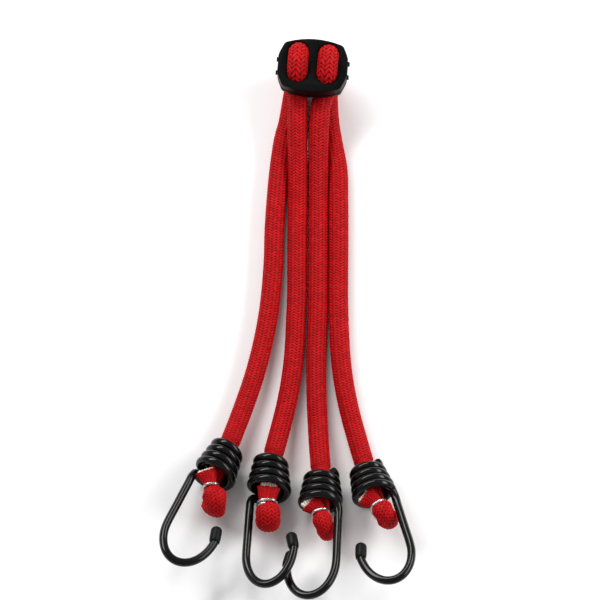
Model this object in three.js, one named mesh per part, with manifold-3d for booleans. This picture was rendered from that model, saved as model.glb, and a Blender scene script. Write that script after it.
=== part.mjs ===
// Four-arm bungee strap: two elastic cords threaded through a snapped plastic hub.
// Each cord wraps a bar in the hub and leaves it as two arms, and each arm ends in a wound wire hook.
// Millimetres, +Z up. The strap lies on z = 0 with its hub towards +Y and its hooks towards -Y.

import * as THREE from 'three';
import * as BufferGeometryUtils from 'three/addons/utils/BufferGeometryUtils.js';
import Module from 'manifold-3d';

const wasm = await Module();
wasm.setup();

// Puts the origin under the middle of the strap as it lies
const ORIGIN_SHIFT = new THREE.Vector3(0.3, 4.2, 0);

// Fits
const FIT_GAP = 0.3;
const CORD_CLEARANCE = 0.5;

// Cord: a braided sheath over a core of rubber strands
const CORD_DIAMETER = 9.6;
const SHEATH_WALL = 1.0;
const CORE_GAP = 0.45;
const CORD_SIDES = 8;
const CORE_SIDES = 6;

// Hub, in its own frame: x across, y along the strap, z out of its face
const HUB_WIDTH = 35;
const HUB_LENGTH = 28;
const HUB_SHOULDER_WIDTH = 29.6;
const HUB_SIDE_LENGTH = 10;
const HUB_CROWN = 2.6;
const SHOULDER_ROUNDING = [0.09, 0.18];
const SIDE_ROUNDING = [0.4, 0.12];
const PLATE_THICKNESS = 3;
const COVER_HEIGHT = 6.6;
const COVER_WALL = 1.8;
const COVER_FACE = 2;
const COVER_BEVEL = 0.4;
const WINDOW_MARGIN = 3.4;
const HOLE_MARGIN = 2.6;
const BAR_WIDTH = 1.6;
const CORD_SPACING = 15;
const LOOP_LIFT = 2.2;
const LOOP_SHIFT = 1.3;
const SNAP_THICKNESS = 1.2;
const SNAP_WIDTH = 2.4;
const SNAP_HEIGHT = 2;
const SNAP_LIFT = 1.2;
const SNAP_REACH = 0.9;
const SNAP_SPREAD = 7;
const HUB_CURVE_STEPS = 8;
const HUB_PLACE = new THREE.Vector3(12.4, 133.1, 21.6);
const HUB_PITCH = 6;
const HUB_TURN = -4.6;

// Hook: one wire, wound round the cord, then a shank and a J
const WIRE_DIAMETER = 4;
const WIRE_SIDES = 6;
const COIL_TURNS = 4;
const COIL_GAP = 0.5;
const COIL_NARROW_DIAMETER = 13.4;
const COIL_MOUTH_DIAMETER = 19.1;
const STEPS_PER_TURN = 14;
const COIL_END_ANGLE = 202;
const SHANK_OFFSET = 9.4;
const SHANK_LENGTH = 34;
const HOOK_WIDTH = 25.4;
const BEND_DEPTH = 18.9;
const TIP_LEG_LENGTH = 7.8;
const TIP_LEAN = 2.1;
const LEAD_OUT = [[-9.2, -1.6, -1.6], [-9.5, -4.6, -0.4]];
const SHANK_SHARES = [0.25, 0.5, 0.75];
const TIP_SHARES = [0.33, 0.67, 1];
const BEND_STEP = 15;
const HOOK_STEPS = 84;
const HOOK_LENGTH_DIVISIONS = 1200;

// Dipped cap on the hook's tip
const CAP_DIAMETER = 5.6;
const CAP_LENGTH = 9.2;
const CAP_WALL = 0.8;
const CAP_CROWN_DIAMETER = 3.4;
const CAP_CROWN_DROP = 0.12;
const CAP_SIDES = 12;

// Folded end of an arm: a neck inside the coil, then two legs, clamped by a ring outside the mouth
const NECK_DIAMETER = 8;
const NECK_TAPER = 5;
const NECK_SAG = 0.3;
const TURN_SAG = 1.6;
const TURN_THICKNESS = 7.6;
const FOLD_TURN_START = -4;
const FOLD_TURN_END = 5;
const FOLD_LEG_SPACING = 8.4;
const FOLD_THICKNESS = 7.4;
const CLAMPED_THICKNESS = 5.4;
const CLAMPED_SPACING = 6;
const CUT_END_WIDTH = 11.4;
const CUT_END_THICKNESS = 5;
const FOLD_STEPS = 22;
const RING_WIRE = 1.6;
const RING_CLEARANCE = 1.1;
const RING_OPENING = 24;
const RING_SQUARENESS = 0.6;
const RING_SIDES = 6;
const RING_STEPS = 24;

// Tail: the last stretch of each arm, which twists, and its straight lead into the coil
const TAIL_LEAD = 2;
const TAIL_POINTS = 3;
const ARM_STEPS = 15;
const TAIL_STEPS = 4;
const LOOP_STEPS = 32;

// Smallest distances that count, as a length and as a share of a curve
const MERGE_DISTANCE = 1e-4;
const CURVE_NUDGE = 1e-3;

const degrees = THREE.MathUtils.degToRad;
const cordRadius = CORD_DIAMETER / 2;
const wireRadius = WIRE_DIAMETER / 2;
const coilPitch = WIRE_DIAMETER + COIL_GAP;
const coilLength = COIL_TURNS * coilPitch;
const holeDiameter = CORD_DIAMETER + 2 * CORD_CLEARANCE;
const holeSpacing = holeDiameter + BAR_WIDTH;
const hubMiddle = HOLE_MARGIN + (holeDiameter + holeSpacing - HUB_LENGTH) / 2;
const windowLength = HUB_LENGTH + 2 * (hubMiddle - WINDOW_MARGIN);
const hubHeight = PLATE_THICKNESS + COVER_HEIGHT;

// Arms 1 to 4 from left to right, as the strap lies. An arm's run leads from the hub down to where the
// arm leaves it, and its route is the centre line from there to its tail.
const ARMS = [
  {
    run: [[5.4, 140.7, 16.5], [5.2, 139.6, 11.8], [4.4, 136, 7.2], [3.3, 131.2, 5]],
    route: [
      [2.5, 127, 4.9], [1.6, 121, 4.9], [0.1, 112, 4.9], [-2.1, 103, 4.9], [-4.4, 86, 4.9],
      [-5.8, 69.6, 4.9], [-6.8, 53, 4.9], [-7.2, 37, 4.9], [-8.8, 15, 4.9], [-10.4, 3, 4.9],
      [-13.2, -12, 4.9], [-16.9, -27, 4.9], [-20.9, -40, 5], [-25, -52.5, 5.9],
    ],
    mouth: [-37.3, -84.4], heading: -24, rise: 9.9, roll: -4, shankSide: -1,
    foldTurn: 30, foldDrop: 8, foldRoll: 0, foldLength: 15.2, ringPlace: 6.4,
    ringShift: -2.1, tipShift: -0.9, cutShift: -3.7, cutStart: 0.8,
    foldWidth: 12, tipWidth: 10.6, clampWidth: 6,
  },
  {
    run: [[4.5, 128.1, 18.6], [4.6, 125.3, 15.6], [4.9, 121, 14.7], [4.8, 115.6, 14.7]],
    route: [
      [4.7, 110.6, 14.7], [4.7, 102, 13.1], [4.8, 93, 10.7], [4.9, 84, 8.3], [4.8, 69.6, 5.3],
      [4.6, 53, 4.9], [4.5, 37, 4.9], [4.4, 15, 4.9], [3.9, 3, 4.9], [3.2, -13, 4.9],
      [1.5, -29, 4.9], [-0.8, -43, 5.2], [-3.2, -55, 6.6],
    ],
    mouth: [-9.7, -92.7], heading: -3.8, rise: 7, roll: 22, shankSide: -1,
    foldTurn: 4, foldDrop: 6, foldRoll: 0, foldLength: 16.8, ringPlace: 6.8,
    ringShift: -0.6, tipShift: -0.2, cutShift: 0.1, cutStart: -0.6,
    foldWidth: 12.4, tipWidth: 10.6, clampWidth: 8.2,
  },
  {
    run: [[19.4, 127.1, 18.6], [18.8, 124.5, 15.8], [17.3, 120.6, 14.7], [16.2, 115.6, 14.7]],
    route: [
      [15.8, 110.6, 14.7], [15.4, 102, 13.1], [15.2, 93, 10.5], [15.2, 84, 7.9], [15.2, 69.6, 5],
      [15.2, 53, 4.9], [15.1, 37, 4.9], [15, 15, 4.9], [14.6, 0, 4.9], [14.1, -18, 4.9],
      [14.2, -36, 4.9], [14.7, -50, 5], [15.4, -64, 6.1],
    ],
    mouth: [16.2, -99.8], heading: -2.2, rise: 10.4, roll: -16.6, shankSide: 1,
    foldTurn: 15, foldDrop: 7, foldRoll: -14, foldLength: 14.6, ringPlace: 5.2,
    ringShift: -0.9, tipShift: -0.6, cutShift: -4.5, cutStart: 0.8,
    foldWidth: 9.6, tipWidth: 6.6, clampWidth: 7,
  },
  {
    run: [[20.4, 139.6, 16.5], [20.3, 138.5, 11.8], [20.2, 135.2, 7.2], [20.1, 130.8, 5]],
    route: [
      [20, 127, 4.9], [20.2, 121, 4.9], [20.8, 112, 4.9], [22.2, 102.5, 4.9], [24.9, 86, 4.9],
      [25.2, 69.6, 4.9], [25.3, 53, 4.9], [25.2, 37, 4.9], [25.1, 15, 4.9], [25.5, -2, 4.9],
      [26.6, -20, 4.9], [28.6, -35, 4.9], [31.2, -48, 4.9], [34.4, -61, 5.6],
    ],
    mouth: [43.2, -95.4], heading: 14.4, rise: 14.8, roll: -7, shankSide: 1,
    foldTurn: 18, foldDrop: 9, foldRoll: -14, foldLength: 14.6, ringPlace: 6.4,
    ringShift: -1.8, tipShift: -1.3, cutShift: -4.7, cutStart: 0.8,
    foldWidth: 10.4, tipWidth: 7.8, clampWidth: 7.2,
  },
];

// Closed solids from three.js geometry, and back
function toManifold(geometry) {
  const plain = geometry.clone();
  plain.deleteAttribute('normal');
  plain.deleteAttribute('uv');
  const merged = BufferGeometryUtils.mergeVertices(plain, MERGE_DISTANCE);
  return new wasm.Manifold(new wasm.Mesh({
    numProp: 3,
    vertProperties: merged.attributes.position.array,
    triVerts: Uint32Array.from(merged.index.array),
  }));
}

function toGeometry(manifold) {
  const mesh = manifold.getMesh();
  const geometry = new THREE.BufferGeometry();
  geometry.setAttribute('position', new THREE.BufferAttribute(mesh.vertProperties, 3));
  geometry.setIndex(new THREE.BufferAttribute(mesh.triVerts, 1));
  return geometry;
}

function part(name, geometry, material) {
  geometry.computeVertexNormals();
  const mesh = new THREE.Mesh(geometry, material);
  mesh.name = name;
  return mesh;
}

// Materials
const plasticBlack = () => new THREE.MeshStandardMaterial({ color: 0x141615, roughness: 0.45 });
const coatedWire = () => new THREE.MeshStandardMaterial({ color: 0x0b0c0d, roughness: 0.25 });
const vinylBlack = () => new THREE.MeshStandardMaterial({ color: 0x191b1a, roughness: 0.6 });
const braidRed = () => new THREE.MeshStandardMaterial({ color: 0xc8161d, roughness: 0.75 });
const rubberCream = () => new THREE.MeshStandardMaterial({ color: 0xe9dfc6, roughness: 0.8 });
const zincSteel = () => new THREE.MeshStandardMaterial({ color: 0xc9ccd0, roughness: 0.3, metalness: 1 });

// Round tubes along a curve
function circle(radius) {
  const shape = new THREE.Shape();
  shape.absarc(0, 0, radius, 0, 2 * Math.PI);
  return shape;
}

function rod(curve, radius, sides, steps) {
  return new THREE.ExtrudeGeometry(circle(radius), {
    curveSegments: sides / 2, steps, extrudePath: curve,
  });
}

function pipe(curve, radius, bore, sides, steps) {
  const shape = circle(radius);
  const hole = new THREE.Path();
  hole.absarc(0, 0, bore, 0, 2 * Math.PI, true);
  shape.holes.push(hole);
  return new THREE.ExtrudeGeometry(shape, { curveSegments: sides / 2, steps, extrudePath: curve });
}

function cordPieces(name, curve, steps) {
  const bore = cordRadius - SHEATH_WALL;
  return [
    part(`${name}_sheath`, pipe(curve, cordRadius, bore, CORD_SIDES, steps), braidRed()),
    part(`${name}_core`, rod(curve, bore - 2 * CORE_GAP, CORE_SIDES, steps), rubberCream()),
  ];
}

// Hub: an outline whose corners are rounded by shares of the edges beside them
function hubOutline(inset) {
  const half = HUB_WIDTH / 2 - inset;
  const shoulder = HUB_SHOULDER_WIDTH / 2 - inset;
  const side = HUB_SIDE_LENGTH / 2;
  const corner = HUB_LENGTH / 2 - HUB_CROWN - inset;
  const crown = HUB_LENGTH / 2 - inset;
  const [toCrown, toSide] = SHOULDER_ROUNDING;
  const [toShoulder, alongSide] = SIDE_ROUNDING;
  const peak = (2 * crown - corner * (1 - toCrown)) / (1 + toCrown);
  const fromCrown = 1 - toCrown;
  const corners = [
    [half, side, alongSide, toShoulder], [shoulder, corner, toSide, toCrown],
    [0, peak, fromCrown, fromCrown], [-shoulder, corner, toCrown, toSide],
    [-half, side, toShoulder, alongSide], [-half, -side, alongSide, toShoulder],
    [-shoulder, -corner, toSide, toCrown], [0, -peak, fromCrown, fromCrown],
    [shoulder, -corner, toCrown, toSide], [half, -side, toShoulder, alongSide],
  ];
  const points = corners.map(([x, y]) => new THREE.Vector2(x, hubMiddle + y));
  const shape = new THREE.Shape();
  corners.forEach(([x, , before, after], i) => {
    const start = points[i].clone().lerp(points.at(i - 1), before);
    const end = points[i].clone().lerp(points[(i + 1) % points.length], after);
    if (i === 0) {
      shape.moveTo(start.x, start.y);
    } else if (x !== 0 && points[i - 1].x !== 0) {
      shape.lineTo(start.x, start.y);
    }
    shape.quadraticCurveTo(x, points[i].y, end.x, end.y);
  });
  shape.closePath();
  return shape;
}

function pill(x, y, width, length) {
  const path = new THREE.Path();
  const straight = (length - width) / 2;
  path.absarc(x, y + straight, width / 2, 0, Math.PI);
  path.absarc(x, y - straight, width / 2, Math.PI, 2 * Math.PI);
  path.closePath();
  return path;
}

function cordHole(x, y) {
  const path = new THREE.Shape();
  path.absarc(x, y, holeDiameter / 2, 0, 2 * Math.PI);
  return path;
}

function slab(shape, bottom, top, curveSegments) {
  return new THREE.ExtrudeGeometry(shape, { depth: top - bottom, bevelEnabled: false, curveSegments })
    .translate(0, 0, bottom);
}

const cordPlaces = [-CORD_SPACING / 2, CORD_SPACING / 2];
const holePlaces = [LOOP_SHIFT - holeSpacing / 2, LOOP_SHIFT + holeSpacing / 2];
const snapBottom = PLATE_THICKNESS + SNAP_LIFT;
const snapPlaces = [-1, 1].flatMap((side) => [-1, 1].map((end) => [side, hubMiddle + end * SNAP_SPREAD / 2]));

function snapArm(side, y) {
  const inside = HUB_WIDTH / 2 - COVER_WALL - FIT_GAP - SNAP_THICKNESS;
  const outside = inside + SNAP_THICKNESS;
  const reach = HUB_WIDTH / 2 + SNAP_REACH;
  const shape = new THREE.Shape();
  shape.moveTo(inside, PLATE_THICKNESS / 2);
  shape.lineTo(outside, PLATE_THICKNESS / 2);
  shape.lineTo(outside, snapBottom);
  shape.lineTo(reach, snapBottom);
  shape.lineTo(outside, snapBottom + SNAP_HEIGHT);
  shape.lineTo(inside, snapBottom + SNAP_HEIGHT);
  shape.closePath();
  const arm = new THREE.ExtrudeGeometry(shape, { depth: SNAP_WIDTH, bevelEnabled: false })
    .translate(0, 0, -SNAP_WIDTH / 2).rotateX(Math.PI / 2);
  return arm.rotateZ(side > 0 ? 0 : Math.PI).translate(0, y, 0);
}

function rearPlate() {
  const shape = hubOutline(0);
  for (const x of cordPlaces) {
    shape.holes.push(...holePlaces.map((y) => cordHole(x, y)));
  }
  let plate = toManifold(slab(shape, 0, PLATE_THICKNESS, HUB_CURVE_STEPS));
  for (const [side, y] of snapPlaces) {
    plate = plate.add(toManifold(snapArm(side, y)));
  }
  return part('hub_rear_plate', toGeometry(plate), plasticBlack());
}

function frontCover() {
  const shape = hubOutline(COVER_BEVEL);
  const windowWidth = holeDiameter + 2 * COVER_BEVEL;
  for (const x of cordPlaces) {
    shape.holes.push(pill(x, LOOP_SHIFT, windowWidth, windowLength + 2 * COVER_BEVEL));
  }
  const block = new THREE.ExtrudeGeometry(shape, {
    depth: hubHeight - COVER_BEVEL, bevelEnabled: true, bevelSegments: 1,
    bevelThickness: COVER_BEVEL, bevelSize: COVER_BEVEL, curveSegments: HUB_CURVE_STEPS,
  });
  const inside = slab(hubOutline(COVER_WALL), 0, hubHeight - COVER_FACE, HUB_CURVE_STEPS);
  const below = new THREE.BoxGeometry(2 * HUB_WIDTH, 2 * HUB_LENGTH, hubHeight)
    .translate(0, 0, PLATE_THICKNESS + FIT_GAP - hubHeight / 2);
  let cover = toManifold(block).subtract(toManifold(inside)).subtract(toManifold(below));
  for (const x of cordPlaces) {
    for (const y of holePlaces) {
      const relief = slab(cordHole(x, y), 0, hubHeight - COVER_FACE, HUB_CURVE_STEPS);
      cover = cover.subtract(toManifold(relief));
    }
  }
  for (const [side, y] of snapPlaces) {
    const slot = new THREE.BoxGeometry(2 * (COVER_WALL + FIT_GAP), SNAP_WIDTH + 2 * FIT_GAP,
      SNAP_HEIGHT + 2 * FIT_GAP).translate(side * HUB_WIDTH / 2, y, snapBottom + SNAP_HEIGHT / 2);
    cover = cover.subtract(toManifold(slot));
  }
  return part('hub_front_cover', toGeometry(cover), plasticBlack());
}

const hub = new THREE.Group();
hub.position.copy(HUB_PLACE);
hub.rotation.set(degrees(HUB_PITCH), 0, degrees(HUB_TURN), 'ZXY');
hub.add(rearPlate(), frontCover());
hub.updateMatrixWorld(true);

// Hook placement: the coil lies on its side, and its axis rises towards the wide mouth
const neckStart = coilLength + NECK_TAPER;

function endFrame(arm) {
  const rise = degrees(arm.rise);
  const atMouth = (COIL_MOUTH_DIAMETER / 2 + wireRadius) * Math.cos(rise);
  const atNarrow = (COIL_NARROW_DIAMETER / 2 + wireRadius) * Math.cos(rise) + coilLength * Math.sin(rise);
  const frame = new THREE.Group();
  frame.position.set(arm.mouth[0], arm.mouth[1], Math.max(atMouth, atNarrow) + FIT_GAP / 2);
  frame.rotation.set(-rise, 0, degrees(arm.heading), 'ZXY');
  frame.updateMatrixWorld(true);
  return frame;
}

// Cords: one centre line from hook to hook, cut into stretches at its own control points
class Stretch extends THREE.Curve {
  constructor(curve, from, to) {
    super();
    this.curve = curve;
    this.from = from;
    this.to = to;
  }

  getPoint(t, target = new THREE.Vector3()) {
    return this.curve.getPoint(this.from + (this.to - this.from) * t, target);
  }
}

function loopPoints(x) {
  const bend = holeDiameter / 2;
  const half = holeSpacing / 2;
  const top = PLATE_THICKNESS + CORD_CLEARANCE + cordRadius + LOOP_LIFT;
  const middle = bend * Math.SQRT1_2;
  const leg = [
    [half, -PLATE_THICKNESS / 2], [half, 0], [half, top - bend],
    [half - bend + middle, top - bend + middle], [half - bend, top],
  ];
  const back = leg.map(([y, z]) => [-y, z]).reverse();
  return [...leg, ...back].map(([y, z]) => hub.localToWorld(new THREE.Vector3(x, LOOP_SHIFT + y, z)));
}

function armPoints(arm) {
  const frame = endFrame(arm);
  const onAxis = (distance) => frame.localToWorld(new THREE.Vector3(0, distance, 0));
  return [
    ...arm.route.map((place) => new THREE.Vector3(...place)),
    onAxis(neckStart + TAIL_LEAD), onAxis(neckStart),
  ];
}

function cordStretches(outer, inner, loopName, x) {
  const toPoints = (places) => places.map((place) => new THREE.Vector3(...place));
  const outerPoints = armPoints(ARMS[outer - 1]).reverse();
  const innerPoints = armPoints(ARMS[inner - 1]);
  const between = [
    ...toPoints(ARMS[outer - 1].run).reverse(), ...loopPoints(x), ...toPoints(ARMS[inner - 1].run),
  ];
  const points = [...outerPoints, ...between, ...innerPoints];
  const curve = new THREE.CatmullRomCurve3(points);
  const last = points.length - 1;
  const innerStart = outerPoints.length + between.length;
  const cuts = [0, TAIL_POINTS, outerPoints.length - 1, innerStart, last - TAIL_POINTS, last];
  const names = [`tail_${outer}`, `arm_${outer}`, loopName, `arm_${inner}`, `tail_${inner}`];
  const steps = [TAIL_STEPS, ARM_STEPS, LOOP_STEPS, ARM_STEPS, TAIL_STEPS];
  const share = (index) => FIT_GAP / 2
    * (2 * CURVE_NUDGE) / curve.getPoint(Math.min(index / last + CURVE_NUDGE, 1))
      .distanceTo(curve.getPoint(Math.max(index / last - CURVE_NUDGE, 0)));
  return names.flatMap((name, order) => cordPieces(name, new Stretch(curve,
    cuts[order] / last + share(cuts[order]),
    cuts[order + 1] / last - share(cuts[order + 1])), steps[order]));
}

// Hook wire in the coil's frame: -y along the axis out of the mouth, shank at -x
function hookPoints() {
  const points = [];
  const count = COIL_TURNS * STEPS_PER_TURN;
  for (let step = 0; step <= count; step += 1) {
    const share = step / count;
    const angle = degrees(COIL_END_ANGLE + 360 * COIL_TURNS * (1 - share));
    const radius = THREE.MathUtils.lerp(COIL_NARROW_DIAMETER, COIL_MOUTH_DIAMETER, share) / 2;
    points.push(new THREE.Vector3(radius * Math.cos(angle), coilLength * (1 - share),
      radius * Math.sin(angle)));
  }
  return points;
}

function hookCurve() {
  const points = hookPoints();
  let least = Infinity;
  points.forEach((point, index) => points.slice(index + STEPS_PER_TURN / 2).forEach((other) => {
    least = Math.min(least, point.distanceTo(other));
  }));
  console.log(`hook coil: least gap between turns ${(least - WIRE_DIAMETER).toFixed(2)} mm`);
  const half = HOOK_WIDTH / 2;
  const centre = half - SHANK_OFFSET;
  for (const [x, y, z] of LEAD_OUT) {
    points.push(new THREE.Vector3(x, y, z));
  }
  for (const share of SHANK_SHARES) {
    points.push(new THREE.Vector3(-SHANK_OFFSET, -SHANK_LENGTH * share, 0));
  }
  for (let angle = 180; angle <= 360; angle += BEND_STEP) {
    points.push(new THREE.Vector3(centre + half * Math.cos(degrees(angle)),
      -SHANK_LENGTH + BEND_DEPTH * Math.sin(degrees(angle)), 0));
  }
  for (const share of TIP_SHARES) {
    points.push(new THREE.Vector3(centre + half - TIP_LEAN * share,
      -SHANK_LENGTH + TIP_LEG_LENGTH * share, 0));
  }
  const curve = new THREE.CatmullRomCurve3(points);
  curve.arcLengthDivisions = HOOK_LENGTH_DIVISIONS;
  return curve;
}

function capGeometry(curve) {
  const outer = CAP_DIAMETER / 2;
  const bore = wireRadius + FIT_GAP;
  const profile = [
    [0, CAP_WALL], [CAP_CROWN_DIAMETER / 2, CAP_WALL - CAP_CROWN_DROP], [outer, -CAP_WALL],
    [outer, CAP_WALL - CAP_LENGTH],
    [bore, CAP_WALL - CAP_LENGTH], [bore, FIT_GAP], [0, FIT_GAP],
  ].map(([x, y]) => new THREE.Vector2(x, y)).reverse();
  const turn = new THREE.Quaternion().setFromUnitVectors(new THREE.Vector3(0, 1, 0), curve.getTangentAt(1));
  const end = curve.getPointAt(1);
  const cap = toGeometry(toManifold(new THREE.LatheGeometry(profile, CAP_SIDES)));
  return cap.applyQuaternion(turn).translate(end.x, end.y, end.z);
}

// Folded ends: a place beside the fold's middle line, which turns, drops and rolls outside the mouth
function foldPlace(arm, s, up, across = 0) {
  const share = THREE.MathUtils.smoothstep(s, FOLD_TURN_START, FOLD_TURN_END);
  const outside = Math.max(s, 0);
  const roll = degrees(arm.foldRoll) * share;
  return new THREE.Vector3(
    outside * Math.tan(degrees(arm.foldTurn)) * share + up * Math.sin(roll) + across * Math.cos(roll),
    -s,
    up * Math.cos(roll) - across * Math.sin(roll) - outside * Math.tan(degrees(arm.foldDrop)) * share,
  );
}

// Rings of points along the fold, with their own half width and half thickness
function foldRings(arm, shrink, sides) {
  const neck = NECK_DIAMETER / 2;
  const neckEnd = COIL_MOUTH_DIAMETER / 2 - wireRadius - CORD_CLEARANCE;
  const leg = FOLD_LEG_SPACING / 2;
  const wide = arm.foldWidth / 2;
  const tipWide = arm.tipWidth / 2;
  const midWide = (wide + tipWide) / 2;
  const thick = FOLD_THICKNESS / 2;
  const clampWide = arm.clampWidth / 2;
  const clampThick = CLAMPED_THICKNESS / 2;
  const cutThick = CUT_END_THICKNESS / 2;
  const clamp = CLAMPED_SPACING / 2;
  const turnStart = arm.foldLength - leg;
  const { ringPlace, ringShift, tipShift } = arm;
  const stations = [
    [FIT_GAP / 2 - neckStart, 0, cordRadius, cordRadius],
    [-coilLength - NECK_TAPER / 2, 0, neck, neck],
    [-coilLength, 0, neck, neck], [-coilLength / 2, -NECK_SAG, neck, neck],
    [FOLD_TURN_START, -TURN_SAG, neck, TURN_THICKNESS / 2],
    [0, cutThick - neckEnd, neck, cutThick + FIT_GAP],
    [ringPlace, -clamp, clampWide, clampThick, ringShift], [turnStart, -leg, wide, thick, tipShift],
    [turnStart + leg * Math.SQRT1_2, -leg * Math.SQRT1_2, midWide, thick, tipShift],
    [arm.foldLength, 0, tipWide, thick, tipShift],
    [turnStart + leg * Math.SQRT1_2, leg * Math.SQRT1_2, midWide, thick, tipShift],
    [turnStart, leg, wide, thick, tipShift], [ringPlace, clamp, clampWide, clampThick, ringShift],
    [arm.cutStart, neckEnd - cutThick - FIT_GAP, CUT_END_WIDTH / 2, cutThick, arm.cutShift],
  ];
  const line = stations.map(([s, up, , , across = 0]) => foldPlace(arm, s, up, across));
  const route = new THREE.CatmullRomCurve3(line);
  const sizes = new THREE.CatmullRomCurve3(stations.map(([, , a, b]) => new THREE.Vector3(a, b, 0)));
  const rings = [];
  for (let step = 0; step <= FOLD_STEPS; step += 1) {
    const t = step / FOLD_STEPS;
    const tangent = route.getTangent(t);
    const centre = route.getPoint(t);
    const across = foldPlace(arm, -centre.y, 0, 1).sub(foldPlace(arm, -centre.y, 0));
    const lateral = across.clone().addScaledVector(tangent, -across.dot(tangent)).normalize();
    const normal = new THREE.Vector3().crossVectors(tangent, lateral);
    const size = sizes.getPoint(t);
    rings.push(Array.from({ length: sides }, (_, corner) => {
      const angle = 2 * Math.PI * corner / sides;
      return centre.clone().addScaledVector(lateral, (size.x - shrink) * Math.cos(angle))
        .addScaledVector(normal, (size.y - shrink) * Math.sin(angle));
    }));
  }
  return rings;
}

function skin(rings, outward) {
  const faces = [];
  for (let row = 0; row + 1 < rings.length; row += 1) {
    const sides = rings[row].length;
    for (let i = 0; i < sides; i += 1) {
      const j = (i + 1) % sides;
      const quad = [rings[row][i], rings[row][j], rings[row + 1][j], rings[row + 1][i]];
      faces.push(outward ? quad : quad.reverse());
    }
  }
  return faces;
}

function disc(ring, outward) {
  const centre = ring.reduce((sum, point) => sum.add(point), new THREE.Vector3()).divideScalar(ring.length);
  return ring.map((point, i) => {
    const next = ring[(i + 1) % ring.length];
    return outward ? [centre, point, next] : [centre, next, point];
  });
}

function annulus(outer, inner, outward) {
  return outer.map((point, i) => {
    const j = (i + 1) % outer.length;
    const quad = [point, outer[j], inner[j], inner[i]];
    return outward ? quad : quad.reverse();
  });
}

function fromFaces(faces) {
  const triangles = faces.flatMap(([a, b, c, d]) => (d ? [a, b, c, a, c, d] : [a, b, c]));
  const loose = new THREE.BufferGeometry().setFromPoints(triangles);
  return BufferGeometryUtils.mergeVertices(loose, MERGE_DISTANCE);
}

function foldPieces(name, arm) {
  const outer = foldRings(arm, 0, CORD_SIDES);
  const inner = foldRings(arm, SHEATH_WALL, CORD_SIDES);
  const core = foldRings(arm, SHEATH_WALL + 2 * CORE_GAP, CORE_SIDES);
  const last = outer.length - 1;
  const sheath = fromFaces([
    ...skin(outer, true), ...skin(inner, false),
    ...annulus(outer[0], inner[0], false), ...annulus(outer[last], inner[last], true),
  ]);
  const strands = fromFaces([...skin(core, true), ...disc(core[0], false), ...disc(core[last], true)]);
  return [
    part(`${name}_sheath`, sheath, braidRed()),
    part(`${name}_core`, strands, rubberCream()),
  ];
}

// Hog ring: an open loop of wire across both legs of the fold
const ringHeight = CLAMPED_SPACING + CLAMPED_THICKNESS + RING_WIRE + 2 * RING_CLEARANCE;

function hogRing(name, arm) {
  const points = [];
  const squared = (value) => Math.sign(value) * Math.abs(value) ** RING_SQUARENESS;
  const centre = foldPlace(arm, arm.ringPlace, 0, arm.ringShift);
  const ringWidth = arm.clampWidth + RING_WIRE + 2 * RING_CLEARANCE;
  for (let step = 0; step <= RING_STEPS; step += 1) {
    const angle = degrees(180 + RING_OPENING + (360 - 2 * RING_OPENING) * step / RING_STEPS);
    points.push(new THREE.Vector3(ringWidth / 2 * squared(Math.cos(angle)), 0,
      ringHeight / 2 * squared(Math.sin(angle))));
  }
  const curve = new THREE.CatmullRomCurve3(points);
  const ring = rod(curve, RING_WIRE / 2, RING_SIDES, RING_STEPS)
    .rotateY(degrees(arm.foldRoll)).rotateX(degrees(arm.foldDrop)).rotateZ(degrees(arm.foldTurn))
    .translate(centre.x, centre.y, centre.z);
  return part(name, ring, zincSteel());
}

// Assembly
const strap = new THREE.Group();
strap.add(hub);
strap.add(...cordStretches(1, 2, 'left_loop', cordPlaces[0]));
strap.add(...cordStretches(4, 3, 'right_loop', cordPlaces[1]));
const wireLine = hookCurve();
ARMS.forEach((arm, index) => {
  const number = index + 1;
  const frame = endFrame(arm);
  frame.add(...foldPieces(`end_${number}`, arm), hogRing(`hog_ring_${number}`, arm));
  const hook = new THREE.Group();
  hook.rotation.y = arm.shankSide < 0 ? -degrees(arm.roll) : Math.PI + degrees(arm.roll);
  hook.add(part(`hook_${number}`, rod(wireLine, wireRadius, WIRE_SIDES, HOOK_STEPS), coatedWire()));
  hook.add(part(`tip_cap_${number}`, capGeometry(wireLine), vinylBlack()));
  frame.add(hook);
  strap.add(frame);
});

strap.position.copy(ORIGIN_SHIFT);
const object = new THREE.Group();
object.add(strap);

export default object;
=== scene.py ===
"""Four-arm bungee strap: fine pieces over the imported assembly, and the stage they are seen on."""

import math

import bmesh
import bpy
import numpy as np
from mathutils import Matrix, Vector


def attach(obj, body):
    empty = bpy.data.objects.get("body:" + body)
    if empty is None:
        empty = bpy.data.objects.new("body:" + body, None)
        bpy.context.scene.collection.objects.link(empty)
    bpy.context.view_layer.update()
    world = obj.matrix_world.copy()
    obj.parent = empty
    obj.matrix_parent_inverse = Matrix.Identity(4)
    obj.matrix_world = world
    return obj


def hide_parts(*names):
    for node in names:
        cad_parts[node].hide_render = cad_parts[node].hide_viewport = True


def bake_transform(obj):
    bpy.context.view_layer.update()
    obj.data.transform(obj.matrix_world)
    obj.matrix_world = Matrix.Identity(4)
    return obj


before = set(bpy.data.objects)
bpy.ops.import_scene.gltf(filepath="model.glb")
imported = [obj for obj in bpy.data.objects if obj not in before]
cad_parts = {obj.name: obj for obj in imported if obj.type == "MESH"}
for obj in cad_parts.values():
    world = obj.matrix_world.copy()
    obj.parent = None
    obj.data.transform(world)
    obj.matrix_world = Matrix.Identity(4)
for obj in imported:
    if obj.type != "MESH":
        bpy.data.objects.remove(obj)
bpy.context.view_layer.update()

bl_info = {
    "name": "Four-arm bungee strap",
    "version": (1, 0, 0),
    "blender": (4, 5, 0),
    "location": "View3D > Sidebar > Strap",
    "description": "Builds the fine pieces of a four-arm bungee strap over its assembly",
    "category": "Object",
}

MM = 0.001

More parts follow.
